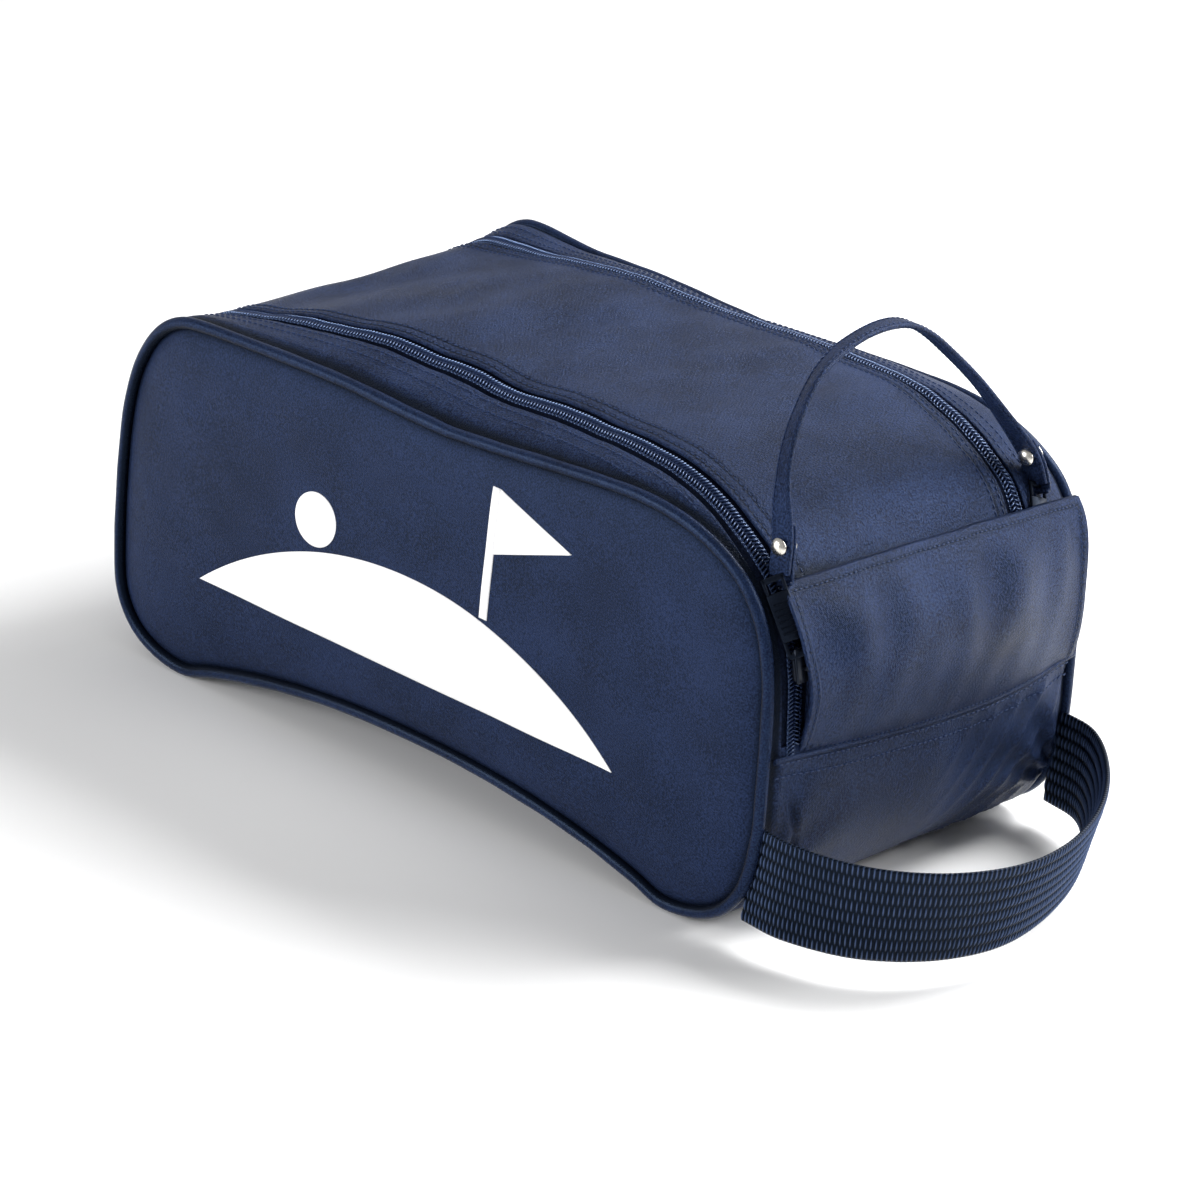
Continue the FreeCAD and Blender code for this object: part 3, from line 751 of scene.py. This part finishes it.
FLAP_FRONT = ((0, 169.5, -73.5, 74.5), (0.3, 175.8, -77, 95), (0.6, 176.5, -80.8, 113.5),
              (0.87, 168.5, -83, 131.5), (1, 159.5, -80.5, 140))
FLAP_MIDDLE = ((0, 174, 3, 73.5), (0.3, 181, 3, 91), (0.6, 182.5, 3, 111), (0.87, 174.5, 3, 132),
               (1, 165.5, 4, 140.6))
FLAP_BACK = ((0, 170.5, 85, 68.5), (0.3, 174, 85, 87), (0.6, 175, 84, 108), (0.87, 171, 84.5, 127.5),
             (1, 165, 85, 136.3))


def through(points, t):
    """Smooth curve through given points, read by its first column."""
    points = np.array(points, float)
    fit = np.linalg.solve(np.vander(points[:, 0], len(points)), points[:, 1:])
    return np.vander(np.ravel(t), len(points)) @ fit


def flap_surface(t, v, lift=0.0):
    """Flap points: t from the seam to the top edge, v from the front edge to the back one."""
    front, middle, back = (through(points, t).reshape(*np.shape(t), 3)
                           for points in (FLAP_FRONT, FLAP_MIDDLE, FLAP_BACK))
    v = np.asarray(v)[..., None]
    blend = front * (2 * v - 1) * (v - 1) + middle * 4 * v * (1 - v) + back * v * (2 * v - 1)
    y = blend[..., 1]
    z = blend[..., 2] + (seam_height(y) + 0.8 - blend[..., 2]) * np.clip(1 - t / 0.35, 0, 1) ** 2
    dents = ease((t - 0.35) / 0.4) * (1 - 0.9 * ease((t - 0.8) / 0.16))
    waves = np.sin(y / 4.9 + 0.4) * 0.95 + np.sin(y / 7.7 + 2.0) * 1.0
    x = blend[..., 0] + dents * waves + 0.6 * ripple(y, z, 31) * ease(t / 0.1) + lift
    return np.stack([x, y, z], axis=-1)


def end_flap():
    """Flap over the zips' ends, hemmed and stitched on three sides, sewn in along its foot."""
    rows, columns = 90, 200
    t = 1 - np.linspace(1, 0, rows) ** 1.5
    v = 0.5 - 0.5 * np.cos(np.linspace(0, math.pi, columns))
    t_grid, v_grid = np.meshgrid(t, v, indexing="ij")
    width, stitch_inset = 165.0, 2.9
    tall = FLAP_TOP - SEAM_Z
    curved = tall * 1.35
    from_edge = np.minimum(np.minimum(v_grid, 1 - v_grid) * width, (1 - t_grid) * curved)
    hem = 0.35 * (1 - ease((from_edge - 3.6) / 0.9))
    groove = -0.25 * np.exp(-((from_edge - stitch_inset) / 0.6) ** 2)
    points = two_sided(flap_surface(t_grid, v_grid, hem + groove), flap_surface(t_grid, v_grid, -FABRIC))
    flat = grid_uv(t_grid * tall, v_grid * width)
    # Painted shade along the stitch row's groove.
    painted_shade = 0.9 * np.exp(-((from_edge - stitch_inset) / 0.55) ** 2)
    flap = make_object("end_flap", points, flipped(tube_faces(rows, 2 * columns)), SATIN, "flap",
                       "wall_fabric", uv=two_sided(flat, flat), painted_shade=two_sided(painted_shade, painted_shade))
    threads = Lump()
    top = 1 - stitch_inset / curved
    side = stitch_inset / width
    along = np.linspace(side, 1 - side, 160)
    upward = np.linspace(0.02, top, 70)
    for line_t, line_v in ((along * 0 + top, along), (upward, upward * 0 + side),
                           (upward, upward * 0 + 1 - side), (along * 0 + 0.035, along)):
        line = flap_surface(line_t, line_v, 0.1)
        threads.add(*stitches(line, flap_surface(line_t, line_v, 1.1) - line, pitch=2.5))
    threads.finish("flap_stitching", THREAD, "flap", "wall_fabric")


def seam_fold():
    """Folded upper edge of the lower end wall, over the foot of the flap, and its stitching."""
    y = np.linspace(-WALL_Y - 0.5, WALL_Y + 0.5, 120)
    angle = circle(10)
    middle = seam_height(y)
    x = HALF_LENGTH + end_bulge(y, middle)[:, None] + 1.1 + 0.9 * np.cos(angle)[None]
    z = middle[:, None] + 1.2 * np.sin(angle)[None]
    points = np.stack([x, y[:, None] + 0 * x, z], axis=-1)
    make_object("seam_fold", points, tube_faces(len(y), len(angle)), SATIN, "root", "wall_fabric",
                uv=grid_uv(y[:, None], angle[None]))
    lump = Lump()
    row_y = np.linspace(-WALL_Y + 1, WALL_Y - 1, 170)
    for drop, lift in ((1.6, 0.9), (7.5, 0.1)):
        down = S_SEAM + (SEAM_Z - seam_height(row_y)) + drop
        rise = end_wrinkles(down, row_y) + lift
        line = wall_skin(down, row_y, rise)
        lump.add(*stitches(line, wall_skin(down, row_y, rise + 1) - line))
    lump.finish("end_stitching", THREAD, "root", "wall_fabric")


# ---- grab handle

def grab_handle():
    """Ribbed webbing: rows of short upright ribs, each row half a rib out of step with the next."""
    route = [(165, -88), (186, -89), (212, -80), (231.5, -60), (241.5, -33), (240, -4), (228.5, 30),
             (209, 62), (187, 84), (166, 89)]
    rows, rib, per_row, per_rib = 8, 1.9, 5, 5
    low, high = (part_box("grab_handle")[k][2] / MM for k in (0, 1))
    tall = high - low
    line, length = smooth_path(route, int(340 / (rib / per_rib)))
    ahead = unit(np.gradient(line, axis=0))
    outward = np.stack([ahead[:, 1], -ahead[:, 0]], axis=1)
    u = np.linspace(0, length, len(line))
    w = np.linspace(0, rows, rows * per_row + 1)[:-1] + 0.5 / per_row
    row_index = np.floor(w)
    bow = np.sin(math.pi * (w - row_index)) ** 0.5
    phase = 2 * math.pi * u[:, None] / rib + math.pi * row_index[None]
    ribs = (0.5 + 0.5 * np.cos(phase)) ** 3 * bow[None]
    edge_round = 1 - np.exp(-np.minimum(w, rows - w) * 3)
    half = 0.5 + 1.1 * ribs * edge_round[None]
    z = low + tall * w / rows
    lean = 5.5 * np.sin(math.pi * u / length) ** 1.5
    sides = []
    for sign in (1, -1):
        shift = sign * half + lean[:, None] * (w[None] / rows * 2 - 1)
        x = line[:, 0:1] + outward[:, 0:1] * shift
        y = line[:, 1:2] + outward[:, 1:2] * shift
        sides.append(np.stack([x, y, z[None] + 0 * x], axis=-1))
    points = two_sided(*sides)
    flat = grid_uv(u[:, None], z[None])
    handle = make_object("grab_handle", points, tube_faces(len(line), points.shape[1]), WEB, "handle",
                         "webbing", uv=two_sided(flat, flat))
    # Rib height, which the webbing material turns into painted highlight on the ribs and painted shade in
    # the gaps.
    heights = handle.data.attributes.new("rib", "FLOAT", "POINT")
    heights.data.foreach_set("value", two_sided(ribs, ribs).ravel())


# ---- puller strap, tabs, sliders, rivets

STRAP_ROUTE = ((-80, 1), (-78, 6), (-75.8, 12), (-74.6, 18), (-72.3, 30), (-67, 43), (-58, 55.5),
               (-44.5, 67.5), (-28, 74.5), (-9.5, 77.3), (5.5, 76), (17.5, 70), (30, 59), (43.5, 45),
               (55, 30), (63.5, 18), (67.5, 10), (69, 1))
LEGS = (("front", STRAP_ROUTE[:4]), ("back", STRAP_ROUTE[:-4:-1]))
PIVOT = np.array([157.0, 0.0, 141.3])
LEAN = math.radians(18.5)
STRAP_UP = np.array([-math.sin(LEAN), 0, math.cos(LEAN)])
STRAP_WIDE = np.array([math.cos(LEAN), 0, math.sin(LEAN)])
ALONG_Y = np.array([0.0, 1.0, 0.0])


def side_normals(line):
    """Normals of a line drawn in the strap's own plane."""
    ahead = unit(np.gradient(line, axis=0))
    return np.stack([-ahead[:, 1], ahead[:, 0]], axis=1)


def strap_points(line, section, turn=0.0):
    """Sweep a section along the strap, twisted about its line by an angle."""
    normal = side_normals(line)
    base = PIVOT + line[:, 0:1] * ALONG_Y + line[:, 1:2] * STRAP_UP
    off = normal[:, 0:1] * ALONG_Y + normal[:, 1:2] * STRAP_UP
    turn = np.broadcast_to(turn, len(line))[:, None]
    flat = STRAP_WIDE * np.cos(turn) + off * np.sin(turn)
    face = off * np.cos(turn) - STRAP_WIDE * np.sin(turn)
    return base[:, None] + section[:, 0:1] * flat[:, None] + section[:, 1:2] * face[:, None]


def puller_strap():
    """Self-fabric strap, turned in and stitched along both edges, folded back at each end."""
    line = smooth_path(STRAP_ROUTE, 190)[0]
    half_width, half_thick = 5.0, 1.05
    top = ((-1, 0), (-0.96, 0.6), (-0.8, 1), (-0.66, 0.8), (-0.4, 1.05), (0, 1.1), (0.4, 1.05), (0.66, 0.8),
           (0.8, 1), (0.96, 0.6))
    section = np.array([*top, *((-across, -off) for across, off in top)]) * (half_width, half_thick)
    share = np.linspace(0, 1, len(line))
    turn = (np.radians(21) * ease((share - 0.07) / 0.1) * (1 - ease((share - 0.3) / 0.12))
            + np.radians(-17) * ease((share - 0.42) / 0.16) * (1 - ease((share - 0.78) / 0.16)))
    lump = Lump()
    lump.add(strap_points(line, section, turn), tube_faces(len(line), len(section)))
    strap_ends(lump)
    strap = lump.finish("puller_strap", SATIN, "puller", "wall_fabric")
    threads = Lump()
    for edge in (-0.7, 0.7):
        for face in (1, -1):
            row = np.array([[edge * half_width, face], [edge * half_width, 2 * face]])
            middle, outer = strap_points(line, row, turn)[6:-6].transpose(1, 0, 2)
            threads.add(*stitches(middle, outer - middle, pitch=2.6, radius=0.24))
    threads.finish("strap_stitching", THREAD, "puller", "wall_fabric")


def rounded(values, power):
    return np.sign(values) * np.abs(values) ** power


def strap_ends(lump):
    """Second layer of each folded end, from the tab's bar up past the rivet."""
    angle = circle(16)
    section = np.stack([4.9 * rounded(np.cos(angle), 0.4), 0.95 * rounded(np.sin(angle), 0.6)], axis=1)
    offsets = ((0.3, -2.2), (1.8, -1.6), (2.1, 3), (2.1, 9), (2.1, 14), (1.9, 17), (1.5, 18.5))
    for _, leg in LEGS:
        places, rises = np.array(leg).T
        route = [(np.interp(rise, rises, places) + away, rise) for away, rise in offsets]
        line = smooth_path(route, 40)[0]
        lump.add(strap_points(line, section), tube_faces(len(line), len(section)))


def rivets():
    """Domed cap, rim and shank through each folded end."""
    radius, stand = np.array(((0.01, 2.2), (0.8, 2.15), (1.6, 1.95), (2.4, 1.6), (3.1, 1.1), (3.5, 0.6),
                              (3.6, 0.2), (3.4, 0.0), (1.5, -0.2))).T[..., None]
    sides = 36
    angle = circle(sides)
    for (name, leg), rise in zip(LEGS, (11.0, 12.0)):
        places, rises = np.array(leg).T
        lump = Lump()
        for sign, offset in ((-1, -1.6), (1, 3.6)):
            across = radius * np.cos(angle)
            up = rise + radius * np.sin(angle)
            y = np.interp(rise, rises, places) + offset + sign * stand + 0 * across
            points = (PIVOT + across[..., None] * STRAP_WIDE + up[..., None] * STRAP_UP
                      + y[..., None] * ALONG_Y)
            faces = tube_faces(len(radius), sides)
            lump.add(points, flipped(faces) if sign > 0 else faces)
        lump.finish(name + "_rivet", NICKEL, "puller", "rivet_nickel")


def box_points(low, high, bevel=0.3):
    """Bevelled block, as points and faces."""
    points = []
    for z, inset in ((low[2], bevel), (low[2] + bevel, 0), (high[2] - bevel, 0), (high[2], bevel)):
        for sx, sy in ((-1, -1), (1, -1), (1, 1), (-1, 1)):
            x = low[0] + inset if sx < 0 else high[0] - inset
            y = low[1] + inset if sy < 0 else high[1] - inset
            for dx, dy in (((0, bevel), (bevel, 0)) if sx * sy > 0 else ((bevel, 0), (0, bevel))):
                points.append((x - sx * dx, y - sy * dy, z))
    return np.array(points), tube_faces(4, 8)


def add_blocks(lump, blocks, origin, *axes):
    """Bevelled blocks given in the axes of a slider or tab."""
    for low, high in blocks:
        points, faces = box_points(low, high)
        lump.add(origin + points @ np.array(axes), faces)


def on_corner(degrees, radius, y):
    """A place at an angle and radius round the upper right corner, and the outward direction there."""
    angle = math.radians(degrees)
    outward = np.array([math.cos(angle), 0, math.sin(angle)])
    return np.array([CORNER_X, y, CORNER_Z]) + radius * outward, outward


def slider(name, y):
    """Slider body over the chain: plate, two flanges, and a bridge on two posts."""
    origin, outward = on_corner(13.6, TOP_RADIUS + 3.0, y)
    along = np.array([outward[2], 0, -outward[0]])
    blocks = (((-6.5, -4.8, 0.8), (6.5, 4.8, 2.2)), ((-5.5, -4.8, -0.6), (5.5, -3.9, 1.2)),
              ((-5.5, 3.9, -0.6), (5.5, 4.8, 1.2)), ((-6.0, -1.3, 2.0), (-4.4, 1.3, 3.4)),
              ((0.6, -1.3, 2.0), (2.2, 1.3, 3.4)), ((-6.0, -1.3, 3.2), (2.2, 1.3, 4.2)))
    lump = Lump()
    add_blocks(lump, blocks, origin, along, ALONG_Y, outward)
    lump.finish(name, PAINT, "sliders", "slider_metal")


def pull_tab(name, y, strap_y, offset, turn):
    """Moulded tab: two rings joined by a stem with raised ridges, from the slider to the strap."""
    start = on_corner(17, 69.4, y)[0] + offset
    end = np.array([PIVOT[0], strap_y, PIVOT[2] + 0.6])
    along = unit(end - start)
    out = unit(np.cross(along, ALONG_Y))
    out = out if out[0] > 0 else -out
    across = np.cross(out, along)
    across, out = (across * math.cos(turn) + out * math.sin(turn),
                   out * math.cos(turn) - across * math.sin(turn))
    reach = float(np.linalg.norm(end - start))
    half, thick = 4.2, 0.7
    spans = [(5.5, reach - 5, -half, half), (-1.1, 5.7, -half, -2.7), (-1.1, 5.7, 2.7, half),
             (-1.1, 1.0, -half, half), (reach - 5.2, reach + 1.1, -half, -2.9),
             (reach - 5.2, reach + 1.1, 2.9, half), (reach - 1.0, reach + 1.1, -half, half)]
    blocks = [((x0, y0, -thick), (x1, y1, thick)) for x0, x1, y0, y1 in spans]
    blocks += [((8 + k * 2.2, -3.0, 0.5), (9 + k * 2.2, 3.0, 1.05)) for k in range(6)]
    lump = Lump()
    add_blocks(lump, blocks, start, along, across, out)
    lump.finish(name, BLACK, "sliders", "tab_plastic")


def sliders_and_tabs():
    """The front tab is turned and hangs off line; the back one lies flat."""
    for name, y, strap_y, offset, turn in (
            ("front", -79.5, STRAP_ROUTE[0][0] - 4, (-1.5, -3.2, 0), math.radians(-42)),
            ("back", 57.0, STRAP_ROUTE[-1][0], (0, 0, 0), 0.0)):
        slider(name + "_slider", y)
        pull_tab(name + "_pull_tab", y, strap_y, offset, turn)


# ---- print, bindings, stops

def print_patch(x, low, high, rows=24):
    """Film laid on the front panel over a span, between a low and a high edge."""
    t = np.linspace(0, 1, rows)
    low, high = (np.broadcast_to(edge, len(x))[:, None] for edge in (low, high))
    z_grid = low + (high - low) * t
    x_grid = x[:, None] + 0 * z_grid
    y = -side_face(x_grid, z_grid)
    points = two_sided(*(np.stack([x_grid, y + off, z_grid], axis=-1) for off in (-0.35, 0.2)))
    return points, flipped(tube_faces(len(x), 2 * rows))


def round_span(middle, half, count):
    """Places across a round shape, closer together near its two ends."""
    return middle + half * 0.999 * np.sin(np.linspace(-math.pi / 2, math.pi / 2, count))


def printed_motif():
    """White film: a mounded green, a flag on its stick and a ball."""
    green_x, green_z, green_half, green_rise = -10.0, 46.0, 110.0, 40.0
    radius = (green_half ** 2 + green_rise ** 2) / (2 * green_rise)
    green = round_span(green_x, green_half, 90)
    green_top = green_z + green_rise - radius + np.sqrt(radius ** 2 - (green - green_x) ** 2)
    stick, foot, top = 32.0, 83.0, 136.0
    flag = np.linspace(stick, 69.8, 24)
    slope = 13 * (flag - stick) / 38
    ball_x, ball_z, ball_radius = -60.0, 92.0, 11.0
    ball = round_span(ball_x, ball_radius, 40)
    ball_half = np.sqrt(ball_radius ** 2 - (ball - ball_x) ** 2)
    patches = {
        "printed_green": [(green, green_z, green_top)],
        "printed_flag": [(np.linspace(stick - 4, stick, 4), foot, top),
                         (flag, top - 26 + slope, top - slope)],
        "printed_ball": [(ball, ball_z - ball_half, ball_z + ball_half)],
    }
    for name, parts in patches.items():
        lump = Lump()
        for part in parts:
            lump.add(*print_patch(*part))
        lump.finish(name, WHITE, "root", "print_white")


def seam_binding(name, side):
    """Tape folded over the seam allowance, inside the bag behind the piping."""
    around = 420
    s, x, z, nx, nz = side_line.around(around)
    section = ((5.6, 84.6), (5.2, 85.4), (5.2, 86.2), (5.6, 86.8), (8, 87.0), (10.8, 86.7), (11.2, 86),
               (11.2, 85.4), (10.8, 84.8), (8, 84.5))
    inset, across = np.array(section).T
    points = np.stack([x[:, None] - nx[:, None] * inset, side * across + 0 * x[:, None],
                       z[:, None] - nz[:, None] * inset], axis=-1)
    faces = grid_faces(around, len(section), wrap_rows=True, wrap_columns=True)
    make_object(name, points, faces, BINDING, "root", "binding_tape", uv=grid_uv(s[:, None], inset))


def carried_over():
    """CAD pieces that keep their own shape get their materials."""
    for name in ("front_zip_stop", "back_zip_stop"):
        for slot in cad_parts[name].material_slots:
            slot.material = PAINT


# ---- stage

def area_light(name, place, target, size, power):
    data = bpy.data.lights.new(name, "AREA")
    data.shape = "RECTANGLE"
    data.size, data.size_y = size
    data.energy = power
    light = bpy.data.objects.new(name, data)
    light.location = place
    aim = Vector(target) - Vector(place)
    light.rotation_euler = aim.to_track_quat("-Z", "Y").to_euler()
    bpy.context.scene.collection.objects.link(light)


def stage():
    """Plain pale floor, even surroundings and soft studio lights."""
    mesh = bpy.data.meshes.new("floor")
    reach = 6.0
    corners = [(-reach, -reach, 0), (reach, -reach, 0), (reach, reach, 0), (-reach, reach, 0)]
    mesh.from_pydata(corners, [], [(0, 1, 2, 3)])
    floor = bpy.data.objects.new("floor", mesh)
    bpy.context.scene.collection.objects.link(floor)
    material, tree, shader = new_material("pale_floor")
    feed(tree, shader, {"Base Color": (0.93, 0.93, 0.93, 1), "Roughness": 0.9})
    mesh.materials.append(material)
    world = bpy.data.worlds.new("studio")
    bpy.context.scene.world = world
    world.use_nodes = True
    background = world.node_tree.nodes["Background"]
    background.inputs["Color"].default_value = (1, 1, 1, 1)
    background.inputs["Strength"].default_value = 0.42
    area_light("key", (0.42, 1.25, 1.15), (0.12, 0, 0.1), (1.2, 1.2), 15)
    area_light("corner", (0.25, 0.6, 0.8), (0.12, 0, 0.14), (0.5, 0.5), 12.5)
    area_light("side", (1.2, 1.0, 0.9), (0.15, 0, 0.1), (0.6, 0.6), 16)
    area_light("fill", (-0.8, -1.6, 0.5), (0, 0, 0.08), (1.0, 0.8), 26)


def camera():
    """The viewing angle: azimuth, elevation, distance, aim and roll, with a long lens."""
    azimuth, elevation, roll = math.radians(40.2), math.radians(22.9), math.radians(6.0)
    distance, lens = 2334.0, 179.55
    aim = Vector((6.3 + SHIFT, 0, 58.7)) * MM
    back = Vector((math.sin(azimuth) * math.cos(elevation), -math.cos(azimuth) * math.cos(elevation),
                   math.sin(elevation)))
    right = (-back).cross(Vector((0, 0, 1))).normalized()
    up = right.cross(-back)
    rolled_right = right * math.cos(roll) + up * math.sin(roll)
    rolled_up = -right * math.sin(roll) + up * math.cos(roll)
    data = bpy.data.cameras.new("camera")
    data.sensor_width = 36.0
    data.lens = lens
    data.clip_start = 0.05
    view = bpy.data.objects.new("camera", data)
    turned = Matrix((rolled_right, rolled_up, back)).transposed()
    view.matrix_world = Matrix.Translation(aim + back * distance * MM) @ turned.to_4x4()
    bpy.context.scene.collection.objects.link(view)
    bpy.context.scene.camera = view


side_panel("front_panel", -1)
side_panel("back_panel", 1)
piping("front_piping", -1)
piping("back_piping", 1)
seam_binding("front_seam_binding", -1)
seam_binding("back_seam_binding", 1)
zips_lid_and_strips()
lower_gusset()
end_flap()
seam_fold()
grab_handle()
puller_strap()
rivets()
sliders_and_tabs()
printed_motif()
carried_over()
stage()
camera()
bpy.context.scene.view_settings.view_transform = "Standard"
